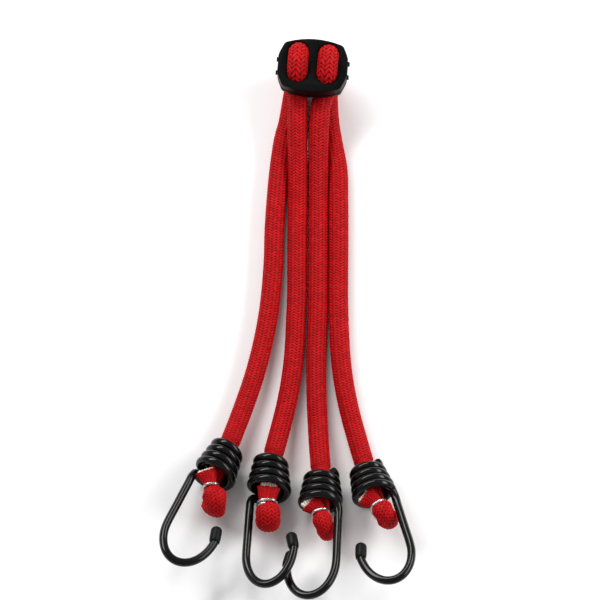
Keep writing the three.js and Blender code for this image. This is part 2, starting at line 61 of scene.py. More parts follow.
# Route and shape values that follow the assembly, in millimetres and degrees
ORIGIN_SHIFT = np.array([0.3, 4.2, 0.0])
FIT_GAP = 0.3
CORD_CLEARANCE = 0.5
CORD_RADIUS = 4.9
HUB_PLACE = np.array([12.4, 133.1, 21.6])
HUB_PITCH = 6.0
HUB_TURN = -4.6
PLATE_THICKNESS = 3.0
HOLE_SPACING = 12.2
LOOP_LIFT = 2.2
LOOP_SHIFT = 1.3
CORD_SPACING = 15.0
WIRE_RADIUS = 2.0
COIL_TURNS = 4
COIL_LENGTH = 18.0
COIL_NARROW_RADIUS = 6.7
COIL_MOUTH_RADIUS = 9.55
COIL_END_ANGLE = 202.0
SHANK_OFFSET = 9.4
SHANK_LENGTH = 34.0
HOOK_WIDTH = 25.4
BEND_DEPTH = 18.9
TIP_LEG_LENGTH = 7.8
TIP_LEAN = 2.1
LEAD_OUT = [[-9.2, -1.6, -1.6], [-9.5, -4.6, -0.4]]
SHANK_SHARES = (0.25, 0.5, 0.75)
TIP_SHARES = (0.33, 0.67, 1)
NECK_START = 23.0
NECK_TAPER = 5.0
NECK_RADIUS = 4.0
NECK_SAG = 0.3
TURN_SAG = 1.6
TURN_HALF_THICKNESS = 3.8
FOLD_TURN_START = -4.0
FOLD_TURN_END = 5.0
FOLD_LEG = 4.2
FOLD_HALF_THICKNESS = 3.7
CLAMPED_HALF_THICKNESS = 2.7
CLAMPED_LEG = 3.0
CUT_END_HALF_WIDTH = 5.7
CUT_END_HALF_THICKNESS = 2.5
RING_HEIGHT = 13.0
RING_SQUARENESS = 0.6
TAIL_LEAD = 2.0
TAIL_POINTS = 3

# Values of the fine pieces alone, lengths in millimetres and angles in degrees
ENTRY_SHARES = (0.8, 0.5, 0.25)
RING_BITE = 0.9
RING_END = 548.0
RING_STEP_OUT = 1.9
RING_STEPS = 110
RING_STEP_SPAN = (200, 330)
RING_SIDES = 16
COIL_STEPS = 28
BEND_STEP = 15
HOOK_SEGMENT_STEPS = 8
STEPS_PER_SEGMENT = 40
STRAND_INSIDE = 1.0
STRAND_SPACING = 1.2
STRAND_WALL = 0.75
STRAND_ROWS = 6
STRAND_COLUMNS = 8
STRAND_SPLAY = 0.2
STRAND_LENGTHS = (0.9, 1.12)
STRAND_SIDES = 12
LOOP_SWELL = 0.22
SWELL_LENGTH = 12.0
BRAID_LEVEL = 0.7
TONE_PER_ROW = 78.233
TONE_PER_COLUMN = 12.99
TONE_SPREAD = 43758.5
CAP_CROWN = 0.8
CAP_FLATTENING = 0.4
CAP_SIDES = 32
CAP_DOME_ANGLES = (15, 30, 45, 58, 70, 80, 87)
EDGE_SEGMENTS = 3
BEVELLED_ANGLE = 35
SHARP_ANGLE = 32
FLAT_ANGLE = 1

# Stage: lamps in metres, floor in millimetres
KEY_PLACE = (-0.55, 0.65, 0.95)
KEY_SIZE = (1.4, 0.34)
SIDE_PLACE = (0.8, 0.1, 0.6)
SIDE_SIZE = (1.0, 0.3)
FLOOR_REACH = 3000.0

# Arms 1 to 4 from left to right
ARMS = {
    1: {
        "run": [[5.4, 140.7, 16.5], [5.2, 139.6, 11.8], [4.4, 136, 7.2], [3.3, 131.2, 5]],
        "route": [
            [2.5, 127, 4.9], [1.6, 121, 4.9], [0.1, 112, 4.9], [-2.1, 103, 4.9], [-4.4, 86, 4.9],
            [-5.8, 69.6, 4.9], [-6.8, 53, 4.9], [-7.2, 37, 4.9], [-8.8, 15, 4.9], [-10.4, 3, 4.9],
            [-13.2, -12, 4.9], [-16.9, -27, 4.9], [-20.9, -40, 5], [-25, -52.5, 5.9],
        ],
        "mouth": (-37.3, -84.4), "heading": -24, "rise": 9.9, "roll": -4, "shank_side": -1,
        "fold_turn": 30, "fold_drop": 8, "fold_roll": 0, "fold_length": 15.2, "ring_place": 6.4,
        "ring_shift": -2.1, "tip_shift": -0.9, "cut_shift": -3.7, "cut_start": 0.8,
        "fold_width": 12, "tip_width": 10.6, "clamp_width": 6, "ring_start": 165,
        "neck_shift": -0.8, "strand_show": 0.9,
    },
    2: {
        "run": [[4.5, 128.1, 18.6], [4.6, 125.3, 15.6], [4.9, 121, 14.7], [4.8, 115.6, 14.7]],
        "route": [
            [4.7, 110.6, 14.7], [4.7, 102, 13.1], [4.8, 93, 10.7], [4.9, 84, 8.3], [4.8, 69.6, 5.3],
            [4.6, 53, 4.9], [4.5, 37, 4.9], [4.4, 15, 4.9], [3.9, 3, 4.9], [3.2, -13, 4.9],
            [1.5, -29, 4.9], [-0.9, -43, 5.2], [-3.5, -55, 6.6],
        ],
        "mouth": (-9.7, -92.7), "heading": -3.8, "rise": 7, "roll": 22, "shank_side": -1,
        "fold_turn": 4, "fold_drop": 6, "fold_roll": 0, "fold_length": 16.8, "ring_place": 6.8,
        "ring_shift": -0.6, "tip_shift": -0.2, "cut_shift": 0.1, "cut_start": -0.6,
        "fold_width": 12.4, "tip_width": 10.6, "clamp_width": 8.2, "ring_start": 95,
        "neck_shift": 1.5, "strand_show": 2.6,
    },
    3: {
        "run": [[19.4, 127.1, 18.6], [18.8, 124.5, 15.8], [17.3, 120.6, 14.7], [16.2, 115.6, 14.7]],
        "route": [
            [15.8, 110.6, 14.7], [15.4, 102, 13.1], [15.2, 93, 10.5], [15.2, 84, 7.9], [15.2, 69.6, 5],
            [15.2, 53, 4.9], [15.1, 37, 4.9], [15, 15, 4.9], [14.6, 0, 4.9], [14.1, -18, 4.9],
            [14.2, -36, 4.9], [14.7, -50, 5], [15.4, -64, 6.1],
        ],
        "mouth": (16.2, -99.8), "heading": -2.2, "rise": 10.4, "roll": -16.6, "shank_side": 1,
        "fold_turn": 15, "fold_drop": 7, "fold_roll": -14, "fold_length": 14.6, "ring_place": 5.2,
        "ring_shift": -0.9, "tip_shift": -0.6, "cut_shift": -4.5, "cut_start": 0.8,
        "fold_width": 9.6, "tip_width": 6.6, "clamp_width": 7, "ring_start": 150,
        "neck_shift": -1.0, "strand_show": 2.6,
    },
    4: {
        "run": [[20.4, 139.6, 16.5], [20.3, 138.5, 11.8], [20.2, 135.2, 7.2], [20.1, 130.8, 5]],
        "route": [
            [20, 127, 4.9], [20.2, 121, 4.9], [20.8, 112, 4.9], [22.2, 102.5, 4.9], [24.9, 86, 4.9],
            [25.2, 69.6, 4.9], [25.3, 53, 4.9], [25.2, 37, 4.9], [25.1, 15, 4.9], [25.5, -2, 4.9],
            [26.6, -20, 4.9], [28.6, -35, 4.9], [31.2, -48, 4.9], [34.4, -61, 5.6],
        ],
        "mouth": (43.2, -95.4), "heading": 14.4, "rise": 14.8, "roll": -7, "shank_side": 1,
        "fold_turn": 18, "fold_drop": 9, "fold_roll": -14, "fold_length": 14.6, "ring_place": 6.4,
        "ring_shift": -1.8, "tip_shift": -1.3, "cut_shift": -4.7, "cut_start": 0.8,
        "fold_width": 10.4, "tip_width": 7.8, "clamp_width": 7.2, "ring_start": 185,
        "neck_shift": 0.0, "strand_show": 1.1,
    },
}
CORDS = {"left": (1, 2, -CORD_SPACING / 2), "right": (4, 3, CORD_SPACING / 2)}


class StrapCordSettings(bpy.types.PropertyGroup):
    """Braided cord and its rubber core."""

    diameter: bpy.props.FloatProperty(
        name="Cord diameter", description="Outside diameter of the braided cord",
        default=9.6 * MM, unit="LENGTH", subtype="DISTANCE")
    columns: bpy.props.IntProperty(
        name="Braid columns", description="Columns of yarn round the cord, an even number", default=14)
    row_pitch: bpy.props.FloatProperty(
        name="Row pitch", description="Distance between two yarns in one column",
        default=1.5 * MM, unit="LENGTH", subtype="DISTANCE")
    end_columns: bpy.props.IntProperty(
        name="End columns", description="Columns of yarn round a folded end, an even number", default=18)
    end_row_pitch: bpy.props.FloatProperty(
        name="End row pitch", description="Distance between two yarns where a folded end is squeezed",
        default=1.2 * MM, unit="LENGTH", subtype="DISTANCE")
    relief: bpy.props.FloatProperty(
        name="Braid relief", description="Depth of the gaps between yarns",
        default=0.7 * MM, unit="LENGTH", subtype="DISTANCE")
    end_relief: bpy.props.FloatProperty(
        name="End relief", description="Depth of the gaps where a folded end is squeezed",
        default=0.65 * MM, unit="LENGTH", subtype="DISTANCE")
    lean: bpy.props.FloatProperty(
        name="Yarn lean", description="Rise of a yarn across its column, in row pitches", default=1.0)
    pinch: bpy.props.FloatProperty(
        name="Yarn dip", description="How far a yarn dips at the edges of its column, as a share",
        default=0.35)
    end_pinch: bpy.props.FloatProperty(
        name="End yarn dip", description="The same dip where a folded end is squeezed", default=0.3)
    ring_pitch: bpy.props.FloatProperty(
        name="Mesh step", description="Distance between two rings of the cord's mesh",
        default=0.3 * MM, unit="LENGTH", subtype="DISTANCE")
    sides: bpy.props.IntProperty(
        name="Mesh sides", description="Faces round the cord", default=120)
    root_length: bpy.props.FloatProperty(
        name="Root length", description="Length of cord after an arm's joint that bends with it",
        default=15 * MM, unit="LENGTH", subtype="DISTANCE")
    swing_lead: bpy.props.FloatProperty(
        name="Swing lead", description="Length of cord before the joint of a swinging arm that bends with it",
        default=13 * MM, unit="LENGTH", subtype="DISTANCE")
    lift_lead: bpy.props.FloatProperty(
        name="Lift lead", description="Length of cord before the joint of a lifting arm that bends with it",
        default=8 * MM, unit="LENGTH", subtype="DISTANCE")
    strand_diameter: bpy.props.FloatProperty(
        name="Strand diameter", description="Diameter of one rubber strand of the core",
        default=1.05 * MM, unit="LENGTH", subtype="DISTANCE")
    yarn_colour: bpy.props.FloatVectorProperty(
        name="Yarn colour", description="Colour of the braid's yarn",
        subtype="COLOR", size=3, min=0, max=1, default=(0.42, 0.002, 0.004))
    # Painted shade: the low gaps between yarns get this dark red in place of the shadow that falls there.
    painted_gap_shade: bpy.props.FloatVectorProperty(
        name="Painted gap shade", description="Painted shade deep between two yarns",
        subtype="COLOR", size=3, min=0, max=1, default=(0.06, 0.0, 0.0005))
    rubber_colour: bpy.props.FloatVectorProperty(
        name="Rubber colour", description="Colour of the rubber strands",
        subtype="COLOR", size=3, min=0, max=1, default=(0.98, 0.92, 0.8))


class StrapHookSettings(bpy.types.PropertyGroup):
    """Wound wire hooks, their caps and the rings on the folded ends."""

    wire_diameter: bpy.props.FloatProperty(
        name="Wire diameter", description="Diameter of the hook wire over its coating",
        default=4.2 * MM, unit="LENGTH", subtype="DISTANCE")
    wire_sides: bpy.props.IntProperty(
        name="Wire sides", description="Faces round a wire", default=24)
    cap_diameter: bpy.props.FloatProperty(
        name="Cap diameter", description="Diameter of the dipped cap on a hook's tip",
        default=5.7 * MM, unit="LENGTH", subtype="DISTANCE")
    cap_length: bpy.props.FloatProperty(
        name="Cap length", description="Length of the dipped cap",
        default=9.2 * MM, unit="LENGTH", subtype="DISTANCE")
    ring_wire: bpy.props.FloatProperty(
        name="Ring wire", description="Wire diameter of the rings that clamp the folded ends",
        default=1.6 * MM, unit="LENGTH", subtype="DISTANCE")
    coat_colour: bpy.props.FloatVectorProperty(
        name="Coat colour", description="Colour of the wire's coating",
        subtype="COLOR", size=3, min=0, max=1, default=(0.0018, 0.002, 0.0022))
    cap_colour: bpy.props.FloatVectorProperty(
        name="Cap colour", description="Colour of the dipped caps",
        subtype="COLOR", size=3, min=0, max=1, default=(0.003, 0.0035, 0.0035))
    zinc_colour: bpy.props.FloatVectorProperty(
        name="Zinc colour", description="Colour of the plated rings",
        subtype="COLOR", size=3, min=0, max=1, default=(0.62, 0.62, 0.61))


class StrapHubSettings(bpy.types.PropertyGroup):
    """Moulded hub."""

    edge_radius: bpy.props.FloatProperty(
        name="Edge radius", description="Rounding of the hub's moulded edges",
        default=0.35 * MM, unit="LENGTH", subtype="DISTANCE")
    colour: bpy.props.FloatVectorProperty(
        name="Hub colour", description="Colour of the moulded plastic",
        subtype="COLOR", size=3, min=0, max=1, default=(0.002, 0.0023, 0.0024))


class StrapStageSettings(bpy.types.PropertyGroup):
    """Camera, lamps and floor."""

    target: bpy.props.FloatVectorProperty(
        name="Target", description="Point on the floor in the middle of the picture",
        subtype="TRANSLATION", unit="LENGTH", size=3, default=(0.0063, 0.0213, 0.0))
    elevation: bpy.props.FloatProperty(
        name="Elevation", description="Camera's height above the horizon",
        subtype="ANGLE", default=math.radians(66))
    distance: bpy.props.FloatProperty(
        name="Distance", description="Camera's distance from the target",
        default=8.0, unit="LENGTH", subtype="DISTANCE")
    field: bpy.props.FloatProperty(
        name="Field", description="Width of the picture at the target",
        default=0.3, unit="LENGTH", subtype="DISTANCE")
    key_power: bpy.props.FloatProperty(
        name="Key lamp", description="Power of the lamp at the upper left", default=16.0)
    side_power: bpy.props.FloatProperty(
        name="Side lamp", description="Power of the lamp at the right", default=8.0)
    world_strength: bpy.props.FloatProperty(
        name="World light", description="Strength of the even light from all round", default=0.36)
    floor_colour: bpy.props.FloatVectorProperty(
        name="Floor colour", description="Colour of the floor",
        subtype="COLOR", size=3, min=0, max=1, default=(0.92, 0.92, 0.92))


# Curves

def spline(points, steps=STEPS_PER_SEGMENT):
    """Centripetal curve through points, sampled evenly in each segment."""
    points = np.asarray(points, float)
    first = 2 * points[0] - points[1]
    last = 2 * points[-1] - points[-2]
    padded = np.vstack([first, points, last])
    shares = np.linspace(0, 1, steps, endpoint=False)[:, None]
    rows = []
    for a, b, c, d in zip(padded, padded[1:], padded[2:], padded[3:]):
        gaps = [float(np.linalg.norm(end - start)) ** 0.5 for start, end in ((a, b), (b, c), (c, d))]
        middle = gaps[1] if gaps[1] > 1e-4 else 1.0
        before = gaps[0] if gaps[0] > 1e-4 else middle
        after = gaps[2] if gaps[2] > 1e-4 else middle
        leave = ((b - a) / before - (c - a) / (before + middle) + (c - b) / middle) * middle
        arrive = ((c - b) / middle - (d - b) / (middle + after) + (d - c) / after) * middle
        square = -3 * b + 3 * c - 2 * leave - arrive
        cube = 2 * b - 2 * c + leave + arrive
        rows.append(b + leave * shares + square * shares ** 2 + cube * shares ** 3)
    return np.vstack(rows + [points[-1:]])


def lengths_along(points):
    steps = np.linalg.norm(np.diff(points, axis=0), axis=1)
    return np.concatenate([[0.0], np.cumsum(steps)])


def at_lengths(places, lengths, values):
    return np.stack([np.interp(places, lengths, column) for column in np.asarray(values).T], axis=1)


def unit(vectors):
    return vectors / np.linalg.norm(vectors, axis=-1, keepdims=True)


def turned(axis, angle):
    """Rotation matrix about a main axis, the angle in degrees."""
    c = math.cos(math.radians(angle))
    s = math.sin(math.radians(angle))
    if axis == "x":
        return np.array([[1, 0, 0], [0, c, -s], [0, s, c]])
    if axis == "y":
        return np.array([[c, 0, s], [0, 1, 0], [-s, 0, c]])
    return np.array([[c, -s, 0], [s, c, 0], [0, 0, 1]])


def smooth_share(value, low, high):
    share = np.clip((value - low) / (high - low), 0, 1)
    return share * share * (3 - 2 * share)


# Places on the strap, in millimetres

def end_frame(arm):
    """Rotation and place of an arm's coil: its axis is -y, out of the mouth."""
    rise = math.radians(arm["rise"])
    at_mouth = (COIL_MOUTH_RADIUS + WIRE_RADIUS) * math.cos(rise)
    at_narrow = (COIL_NARROW_RADIUS + WIRE_RADIUS) * math.cos(rise) + COIL_LENGTH * math.sin(rise)
    place = np.array([*arm["mouth"], max(at_mouth, at_narrow) + FIT_GAP / 2]) + ORIGIN_SHIFT
    return turned("z", arm["heading"]) @ turned("x", -arm["rise"]), place


def to_end(arm, points):
    rotation, place = end_frame(arm)
    return np.asarray(points, float) @ rotation.T + place


def to_hook(arm, points):
    angle = -arm["roll"] if arm["shank_side"] < 0 else 180 + arm["roll"]
    return to_end(arm, np.asarray(points, float) @ turned("y", angle).T)


def loop_points(x):
    bend = CORD_RADIUS + CORD_CLEARANCE
    half = HOLE_SPACING / 2
    top = PLATE_THICKNESS + CORD_CLEARANCE + CORD_RADIUS + LOOP_LIFT
    middle = bend * math.sqrt(0.5)
    leg = [
        (half, -PLATE_THICKNESS / 2), (half, 0), (half, top - bend),
        (half - bend + middle, top - bend + middle), (half - bend, top),
    ]
    both = leg + [(-y, z) for y, z in reversed(leg)]
    local = np.array([(x, LOOP_SHIFT + y, z) for y, z in both])
    rotation = turned("z", HUB_TURN) @ turned("x", HUB_PITCH)
    return local @ rotation.T + HUB_PLACE + ORIGIN_SHIFT


def arm_points(arm):
    route = np.array(arm["route"], float) + ORIGIN_SHIFT
    shift = arm["neck_shift"]
    lead = to_end(arm, [[shift, NECK_START + TAIL_LEAD, 0], [ENTRY_SHARES[0] * shift, NECK_START, 0]])
    return np.vstack([route, lead])


def fold_place(arm, s, up, across=0.0):
    share = smooth_share(s, FOLD_TURN_START, FOLD_TURN_END)
    outside = np.maximum(s, 0)
    roll = math.radians(arm["fold_roll"]) * share
    turn = math.tan(math.radians(arm["fold_turn"]))
    drop = math.tan(math.radians(arm["fold_drop"]))
    return np.stack([
        outside * turn * share + up * np.sin(roll) + across * np.cos(roll),
        -s + 0 * roll,
        up * np.cos(roll) - across * np.sin(roll) - outside * drop * share,
    ], axis=-1)


def fold_line(arm):
    """Centre line, half width, half thickness and lateral direction of an arm's folded end."""
    neck_end = COIL_MOUTH_RADIUS - WIRE_RADIUS - CORD_CLEARANCE
    length, ring = arm["fold_length"], arm["ring_place"]
    pinch, tip = arm["ring_shift"], arm["tip_shift"]
    turn_start = length - FOLD_LEG
    diagonal = FOLD_LEG * math.sqrt(0.5)
    wide, end = arm["fold_width"] / 2, arm["tip_width"] / 2
    bend = (wide + end) / 2
    clamp = arm["clamp_width"] / 2
    thick, cut = FOLD_HALF_THICKNESS, CUT_END_HALF_THICKNESS
    entry, taper, narrow = [share * arm["neck_shift"] for share in ENTRY_SHARES]
    stations = np.array([
        [FIT_GAP / 2 - NECK_START, 0, CORD_RADIUS, CORD_RADIUS, entry],
        [-COIL_LENGTH - NECK_TAPER / 2, 0, NECK_RADIUS, NECK_RADIUS, taper],
        [-COIL_LENGTH, 0, NECK_RADIUS, NECK_RADIUS, narrow],
        [-COIL_LENGTH / 2, -NECK_SAG, NECK_RADIUS, NECK_RADIUS, 0],
        [FOLD_TURN_START, -TURN_SAG, NECK_RADIUS, TURN_HALF_THICKNESS, 0],
        [0, cut - neck_end, NECK_RADIUS, cut + FIT_GAP, 0],
        [ring, -CLAMPED_LEG, clamp, CLAMPED_HALF_THICKNESS, pinch],
        [turn_start, -FOLD_LEG, wide, thick, tip],
        [turn_start + diagonal, -diagonal, bend, thick, tip],
        [length, 0, end, thick, tip],
        [turn_start + diagonal, diagonal, bend, thick, tip],
        [turn_start, FOLD_LEG, wide, thick, tip],
        [ring, CLAMPED_LEG, clamp, CLAMPED_HALF_THICKNESS, pinch],
        [arm["cut_start"], neck_end - cut - FIT_GAP, CUT_END_HALF_WIDTH, cut, arm["cut_shift"]],
    ])
    line = spline(fold_place(arm, stations[:, 0], stations[:, 1], stations[:, 4]))
    sizes = spline(stations[:, 2:4])
    zero = np.zeros(len(line))
    across = fold_place(arm, -line[:, 1], zero, zero + 1) - fold_place(arm, -line[:, 1], zero)
    rotation, place = end_frame(arm)
    return line @ rotation.T + place, sizes, across @ rotation.T


def hook_line():
    """Centre line of the hook wire, in the coil's frame."""
    points = []
    count = COIL_TURNS * COIL_STEPS
    for step in range(count + 1):
        share = step / count
        angle = math.radians(COIL_END_ANGLE + 360 * COIL_TURNS * (1 - share))
        radius = COIL_NARROW_RADIUS + (COIL_MOUTH_RADIUS - COIL_NARROW_RADIUS) * share
        points.append([radius * math.cos(angle), COIL_LENGTH * (1 - share), radius * math.sin(angle)])
    points += LEAD_OUT
    points += [[-SHANK_OFFSET, -SHANK_LENGTH * share, 0] for share in SHANK_SHARES]
    half = HOOK_WIDTH / 2
    centre = half - SHANK_OFFSET
    for angle in range(180, 361, BEND_STEP):
        turn = math.radians(angle)
        points.append([centre + half * math.cos(turn), -SHANK_LENGTH + BEND_DEPTH * math.sin(turn), 0])
    for share in TIP_SHARES:
        points.append([centre + half - TIP_LEAN * share, -SHANK_LENGTH + TIP_LEG_LENGTH * share, 0])
    return spline(points, HOOK_SEGMENT_STEPS)


def ring_line(arm):
    """Centre line of a ring: once round the fold, and its free end beside its start."""
    steps = np.linspace(arm["ring_start"], RING_END, RING_STEPS)
    angles = np.radians(steps)
    across = np.sign(np.cos(angles)) * np.abs(np.cos(angles)) ** RING_SQUARENESS
    up = np.sign(np.sin(angles)) * np.abs(np.sin(angles)) ** RING_SQUARENESS
    width = arm["clamp_width"] + RING_BITE
    beside = -RING_STEP_OUT * (1 - smooth_share(steps, *RING_STEP_SPAN))
    flat = np.stack([width / 2 * across, beside, RING_HEIGHT / 2 * up], axis=1)
    rotation = turned("z", arm["fold_turn"]) @ turned("x", arm["fold_drop"]) @ turned("y", arm["fold_roll"])
    centre = fold_place(arm, np.array(arm["ring_place"]), 0.0, arm["ring_shift"])
    return to_end(arm, flat @ rotation.T + centre)


# Meshes

def mesh_object(name, points, faces, edges=()):
    """New object with its place in its mesh, from points in millimetres."""
    mesh = bpy.data.meshes.new(name)
    mesh.from_pydata((np.asarray(points) * MM).tolist(), [tuple(e) for e in edges], faces)
    mesh.update()
    made = bpy.data.objects.new(name, mesh)
    bpy.context.scene.collection.objects.link(made)
    return made


def tube_faces(rings, sides):
    """Quads of a tube and the fans that close it; the two cap centres come after the rings."""
    row = np.arange(rings - 1)[:, None] * sides
    col = np.arange(sides)[None, :]
    after = (col + 1) % sides
    quads = np.stack([row + col, row + after, row + sides + after, row + sides + col], axis=-1)
    faces = quads.reshape(-1, 4).tolist()
    start = rings * sides
    last = (rings - 1) * sides
    for i in range(sides):
        j = (i + 1) % sides
        faces.append([start, j, i])
        faces.append([start + 1, last + i, last + j])
    return faces


def revolved(name, profile, sides, origin, axis):
    """Solid of revolution: profile is pairs of radius and height along axis, from bottom to top."""
    axis = unit(np.asarray(axis, float))
    side = np.cross(axis, [0.0, 0.0, 1.0])
    side = unit(side) if np.linalg.norm(side) > 1e-3 else np.array([1.0, 0.0, 0.0])
    other = np.cross(axis, side)
    angles = np.linspace(0, 2 * math.pi, sides, endpoint=False)
    circle = np.cos(angles)[:, None] * side + np.sin(angles)[:, None] * other
    rings = [origin + height * axis + radius * circle for radius, height in profile]
    caps = [origin + profile[0][1] * axis, origin + profile[-1][1] * axis]
    return mesh_object(name, np.vstack(rings + [caps]), tube_faces(len(profile), sides))


def set_float(mesh, name, values):
    attribute = mesh.attributes.new(name, "FLOAT", "POINT")
    attribute.data.foreach_set("value", np.asarray(values, np.float32))


def baked(made, tree, values):
    """Runs a geometry tree on made with the named inputs, and leaves it a plain mesh."""
    modifier = made.modifiers.new(tree.name, "NODES")
    modifier.node_group = tree
    for socket in tree.interface.items_tree:
        if socket.item_type == "SOCKET" and socket.in_out == "INPUT" and socket.name in values:
            modifier[socket.identifier] = values[socket.name]
    graph = bpy.context.evaluated_depsgraph_get()
    graph.update()
    fine = bpy.data.meshes.new_from_object(made.evaluated_get(graph), preserve_all_data_layers=True,
                                           depsgraph=graph)
    made.modifiers.remove(modifier)
    rough = made.data
    fine.name = rough.name
    made.data = fine
    bpy.data.meshes.remove(rough)
    if len(fine.polygons) == 0:
        raise RuntimeError(f"{made.name} came out of {tree.name} with no faces")
    return made


# Geometry trees

class Tree:
    """Short ways to add nodes to a node tree and to wire them."""

    def __init__(self, tree):
        self.tree = tree

    def node(self, kind, inputs=(), **settings):
        made = self.tree.nodes.new(kind)
        for key, value in settings.items():
            setattr(made, key, value)
        for socket, value in dict(inputs).items():
            if isinstance(value, bpy.types.NodeSocket):
                self.tree.links.new(value, made.inputs[socket])
            else:
                made.inputs[socket].default_value = value
        return made

    def math(self, operation, first, second=0.0, third=0.0):
        made = self.node("ShaderNodeMath", {0: first, 1: second, 2: third}, operation=operation)
        return made.outputs[0]


def new_geometry_tree(name, inputs):
    tree = bpy.data.node_groups.new(name, "GeometryNodeTree")
    tree.is_modifier = True
    tree.interface.new_socket("Geometry", in_out="INPUT", socket_type="NodeSocketGeometry")
    for label, kind in inputs:
        tree.interface.new_socket(label, in_out="INPUT", socket_type=kind)
    tree.interface.new_socket("Geometry", in_out="OUTPUT", socket_type="NodeSocketGeometry")
    made = Tree(tree)
    return made, made.node("NodeGroupInput").outputs


def close_geometry_tree(made, geometry, material):
    realised = made.node("GeometryNodeRealizeInstances", {0: geometry})
    painted = made.node("GeometryNodeSetMaterial", {"Geometry": realised.outputs[0], "Material": material})
    output = made.node("NodeGroupOutput")
    made.tree.links.new(painted.outputs[0], output.inputs[0])
    return made.tree


def braid_tree():
    """Presses a herringbone braid into a tube that has along and around on its points."""
    made, given = new_geometry_tree("Braid relief", [
        ("Columns", "NodeSocketFloat"), ("Row pitch", "NodeSocketFloat"), ("Lean", "NodeSocketFloat"),
        ("Pinch", "NodeSocketFloat"), ("Relief", "NodeSocketFloat"), ("Material", "NodeSocketMaterial"),
    ])
    around = made.node("GeometryNodeInputNamedAttribute", {"Name": "around"}, data_type="FLOAT").outputs[0]
    along = made.node("GeometryNodeInputNamedAttribute", {"Name": "along"}, data_type="FLOAT").outputs[0]
    body = made.node("GeometryNodeInputNamedAttribute", {"Name": "body"}, data_type="FLOAT").outputs[0]
    place = made.math("MULTIPLY", around, given["Columns"])
    column = made.math("FLOOR", place)
    within = made.math("SUBTRACT", place, column)
    odd = made.math("FLOORED_MODULO", column, 2.0)
    side = made.math("MULTIPLY_ADD", odd, 2.0, -1.0)
    offset = made.math("MULTIPLY", made.math("SUBTRACT", within, 0.5), given["Lean"])
    row = made.math("MULTIPLY_ADD", side, offset, made.math("DIVIDE", along, given["Row pitch"]))
    share = made.math("FRACT", row)
    across = made.math("MULTIPLY_ADD", share, 2.0, -1.0)
    bow = made.math("SUBTRACT", 1.0, made.math("MULTIPLY", across, across))
    yarn = made.math("SQRT", made.math("MAXIMUM", bow, 0.0))
    ends = made.math("SINE", made.math("MULTIPLY", within, math.pi))
    dip = made.math("MULTIPLY", made.math("SUBTRACT", ends, 1.0), given["Pinch"])
    height = made.math("MULTIPLY", yarn, made.math("ADD", dip, 1.0))
    held = made.math("MULTIPLY_ADD", made.math("SUBTRACT", height, 1.0), body, 1.0)
    mark = made.math("MULTIPLY", column, TONE_PER_COLUMN)
    mark = made.math("MULTIPLY_ADD", made.math("FLOOR", row), TONE_PER_ROW, mark)
    tone = made.math("FRACT", made.math("MULTIPLY", made.math("SINE", mark), TONE_SPREAD))
    toned = made.node("GeometryNodeStoreNamedAttribute", {
        "Geometry": given["Geometry"], "Name": "tone", "Value": tone}, data_type="FLOAT", domain="POINT")
    # The weave height stored here is what the braid material turns into painted shade in the gaps between
    # yarns.
    stored = made.node("GeometryNodeStoreNamedAttribute", {
        "Geometry": toned.outputs[0], "Name": "weave", "Value": held}, data_type="FLOAT", domain="POINT")
    depth = made.math("MULTIPLY", made.math("SUBTRACT", height, BRAID_LEVEL), given["Relief"])
    depth = made.math("MULTIPLY", depth, body)
    normal = made.node("GeometryNodeInputNormal").outputs[0]
    push = made.node("ShaderNodeVectorMath", {0: normal, "Scale": depth}, operation="SCALE").outputs[0]
    moved = made.node("GeometryNodeSetPosition", {"Geometry": stored.outputs[0], "Offset": push})
    smooth = made.node("GeometryNodeSetShadeSmooth", {"Geometry": moved.outputs[0], "Shade Smooth": True})
    return close_geometry_tree(made, smooth.outputs[0], given["Material"])


def wire_tree():
    """Makes round wire along a line of edges."""
    made, given = new_geometry_tree("Wire along a line", [
        ("Diameter", "NodeSocketFloat"), ("Sides", "NodeSocketInt"), ("Material", "NodeSocketMaterial"),
    ])
    line = made.node("GeometryNodeMeshToCurve", {0: given["Geometry"]})
    radius = made.math("MULTIPLY", given["Diameter"], 0.5)
    circle = made.node("GeometryNodeCurvePrimitiveCircle", {"Resolution": given["Sides"], "Radius": radius},
                       mode="RADIUS")
    wire = made.node("GeometryNodeCurveToMesh", {
        "Curve": line.outputs[0], "Profile Curve": circle.outputs[0], "Fill Caps": True})
    smooth = made.node("GeometryNodeSetShadeSmooth", {"Geometry": wire.outputs[0], "Shade Smooth": True})
    return close_geometry_tree(made, smooth.outputs[0], given["Material"])


def strand_tree():
    """Stands a short round strand on every point, each of its own length."""
    made, given = new_geometry_tree("Rubber strands", [
        ("Diameter", "NodeSocketFloat"), ("Length", "NodeSocketFloat"), ("Direction", "NodeSocketVector"),
        ("Seed", "NodeSocketInt"), ("Material", "NodeSocketMaterial"),
    ])
    radius = made.math("MULTIPLY", given["Diameter"], 0.5)
    strand = made.node("GeometryNodeMeshCylinder", {
        "Vertices": STRAND_SIDES, "Radius": radius, "Depth": given["Length"]})
    splay = made.node("FunctionNodeRandomValue", {
        0: [-STRAND_SPLAY] * 3, 1: [STRAND_SPLAY] * 3, "Seed": given["Seed"]}, data_type="FLOAT_VECTOR")
    leaning = made.node("ShaderNodeVectorMath", {
        0: given["Direction"], 1: splay.outputs[0]}, operation="ADD")
    turn = made.node("FunctionNodeAlignRotationToVector", {"Vector": leaning.outputs[0]}, axis="Z")
    stretch = made.node("FunctionNodeRandomValue", {
        2: STRAND_LENGTHS[0], 3: STRAND_LENGTHS[1], "Seed": given["Seed"]}, data_type="FLOAT")
    scale = made.node("ShaderNodeCombineXYZ", {0: 1.0, 1: 1.0, 2: stretch.outputs[1]})
    stood = made.node("GeometryNodeInstanceOnPoints", {
        "Points": given["Geometry"], "Instance": strand.outputs[0], "Rotation": turn.outputs[0],
        "Scale": scale.outputs[0]})
    return close_geometry_tree(made, stood.outputs[0], given["Material"])


# Materials

